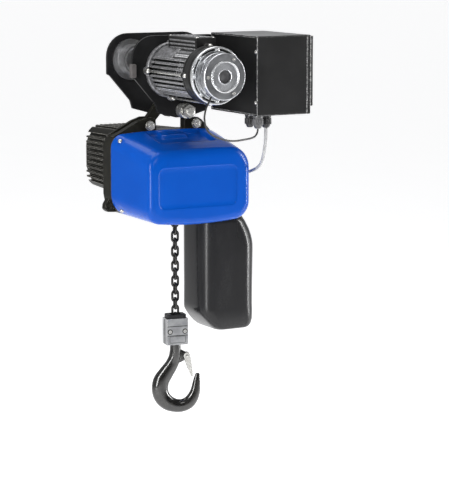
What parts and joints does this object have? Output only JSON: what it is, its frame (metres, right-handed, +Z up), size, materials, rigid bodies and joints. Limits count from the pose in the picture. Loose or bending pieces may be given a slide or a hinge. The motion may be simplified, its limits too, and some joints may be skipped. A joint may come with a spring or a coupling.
{
  "type": "chain hoist",
  "caption": "Electric chain hoist with a tapered blue cover, finned motor, chain container and swivel hook, hanging from a motor-driven beam trolley with a control box.",
  "frame": {"origin": "on the running surface of the beam's lower flange, in the beam's centre plane, midway between the wheel axles and over the load bar", "axes": "+X along the beam, +Y across it away from the blue cover's front, +Z up"},
  "size_m": [0.329, 0.542, 0.7637],
  "materials": {
    "black_steel": "satin black paint",
    "black_casting": "black powder coat on a die casting",
    "grey_casting": "worn dark grey casting",
    "blue_cover": "glossy blue paint",
    "zinc": "zinc plated",
    "steel": "machined",
    "black_chain": "black oxide",
    "forged_black": "black forged steel",
    "bare_aluminium": "machined and cast aluminium",
    "black_plastic": "satin black",
    "rubber": "dusty grey",
    "black_cable": "black sheath",
    "grey_cable": "grey sheath",
    "copper": "varnished winding"
  },
  "bodies": {
    "trolley": {"side_plate_front": "black_steel", "side_plate_rear": "black_steel", "load_bar": "zinc", "load_nut_front": "zinc", "load_nut_rear": "zinc", "load_sleeve_front": "zinc", "load_sleeve_rear": "zinc", "wheel_axle_front_left": "zinc", "wheel_axle_front_right": "zinc", "wheel_axle_rear_left": "zinc", "wheel_axle_rear_right": "zinc", "buffer_left": "rubber", "buffer_right": "rubber", "travel_motor_flange": "grey_casting", "travel_motor_housing": "grey_casting", "travel_terminal_cover": "black_casting", "travel_motor_shield": "black_casting", "brake_flange_ring": "bare_aluminium", "brake_magnet": "bare_aluminium", "control_box_shell": "black_steel", "control_box_lid": "black_steel", "control_box_panel": "black_steel", "control_box_bracket": "black_steel", "contactor_block": "black_plastic", "cable_gland_rear": "black_plastic", "cable_gland_brake": "black_plastic", "cable_gland_hoist": "black_plastic", "brake_cable": "black_cable", "hoist_cable": "grey_cable"},
    "wheel_front_left": {"travel_wheel_front_left": "steel"},
    "wheel_front_right": {"travel_wheel_front_right": "steel"},
    "wheel_rear_left": {"travel_wheel_rear_left": "steel"},
    "wheel_rear_right": {"travel_wheel_rear_right": "steel"},
    "travel_gear": {"travel_gear_shaft": "steel"},
    "travel_drive": {"travel_rotor": "steel"},
    "hoist": {"suspension_bracket": "black_steel", "suspension_bolt_left": "zinc", "suspension_bolt_right": "zinc", "gear_housing": "black_casting", "bearing_plate": "steel", "chain_guide": "black_plastic", "front_cover": "blue_cover", "motor_housing": "black_casting", "motor_end_cover": "black_casting", "motor_windings": "copper", "hoist_brake": "bare_aluminium", "slack_chain": "black_chain", "chain_container": "black_plastic", "container_hanger": "black_steel", "hoist_cable_gland": "black_plastic"},
    "hoist_drive": {"motor_rotor": "steel"},
    "chain_drum": {"chain_wheel": "steel"},
    "lift": {"load_chain": "black_chain", "hook_block_front": "bare_aluminium", "hook_block_rear": "bare_aluminium", "chain_insert": "black_plastic", "chain_pin": "steel"},
    "hook": {"hook": "forged_black", "latch_pin": "zinc"},
    "latch": {"latch": "zinc"}
  },
  "joints": [
    {"name": "wheel_front_left_spin", "type": "hinge", "parent": "trolley", "child": "wheel_front_left", "pos_m": [-0.0575, 0, 0.03], "axis": [0, 1, 0], "continuous": true},
    {"name": "wheel_front_right_spin", "type": "hinge", "parent": "trolley", "child": "wheel_front_right", "pos_m": [0.0575, 0, 0.03], "axis": [0, 1, 0], "continuous": true},
    {"name": "wheel_rear_left_spin", "type": "hinge", "parent": "trolley", "child": "wheel_rear_left", "pos_m": [-0.0575, 0, 0.03], "axis": [0, 1, 0], "continuous": true},
    {"name": "wheel_rear_right_spin", "type": "hinge", "parent": "trolley", "child": "wheel_rear_right", "pos_m": [0.0575, 0, 0.03], "axis": [0, 1, 0], "continuous": true},
    {"name": "travel_gear_spin", "type": "hinge", "parent": "trolley", "child": "travel_gear", "pos_m": [0, 0, 0.03], "axis": [0, 1, 0], "continuous": true},
    {"name": "travel_drive_spin", "type": "hinge", "parent": "trolley", "child": "travel_drive", "pos_m": [-0.025, 0, 0.0148], "axis": [0, 1, 0], "continuous": true},
    {"name": "hoist_swing", "type": "hinge", "parent": "trolley", "child": "hoist", "pos_m": [0, 0, -0.064], "axis": [0, 1, 0], "range_deg": [-6, 6], "deforming": ["hoist_cable"]},
    {"name": "hook_lift", "type": "slide", "parent": "hoist", "child": "lift", "axis": [0, 0, 1], "range_m": [-0.055, 0.07]},
    {"name": "chain_drum_spin", "type": "hinge", "parent": "hoist", "child": "chain_drum", "pos_m": [0.04325, 0, -0.178], "axis": [0, 1, 0], "continuous": true},
    {"name": "hoist_drive_spin", "type": "hinge", "parent": "hoist", "child": "hoist_drive", "pos_m": [-0.004, 0, -0.178], "axis": [0, 1, 0], "continuous": true},
    {"name": "hook_swivel", "type": "hinge", "parent": "lift", "child": "hook", "pos_m": [0.014, 0, -0.53], "axis": [0, 0, 1], "continuous": true},
    {"name": "latch_hinge", "type": "hinge", "parent": "hook", "child": "latch", "pos_m": [0.03587, -0.00711, -0.562], "axis": [0.309, 0.9511, 0], "range_deg": [0, 34], "stiffness_Nm_per_rad": 0.05, "springref_deg": -28.65}
  ],
  "couplings": [
    {"joint": "wheel_front_right_spin", "follows": "wheel_front_left_spin", "ratio": 1},
    {"joint": "travel_gear_spin", "follows": "wheel_front_left_spin", "ratio": -2.2857},
    {"joint": "travel_drive_spin", "follows": "wheel_front_left_spin", "ratio": 5.1429},
    {"joint": "chain_drum_spin", "follows": "hook_lift", "rad_per_m": 34.188},
    {"joint": "hoist_drive_spin", "follows": "hook_lift", "rad_per_m": -145.3}
  ]
}
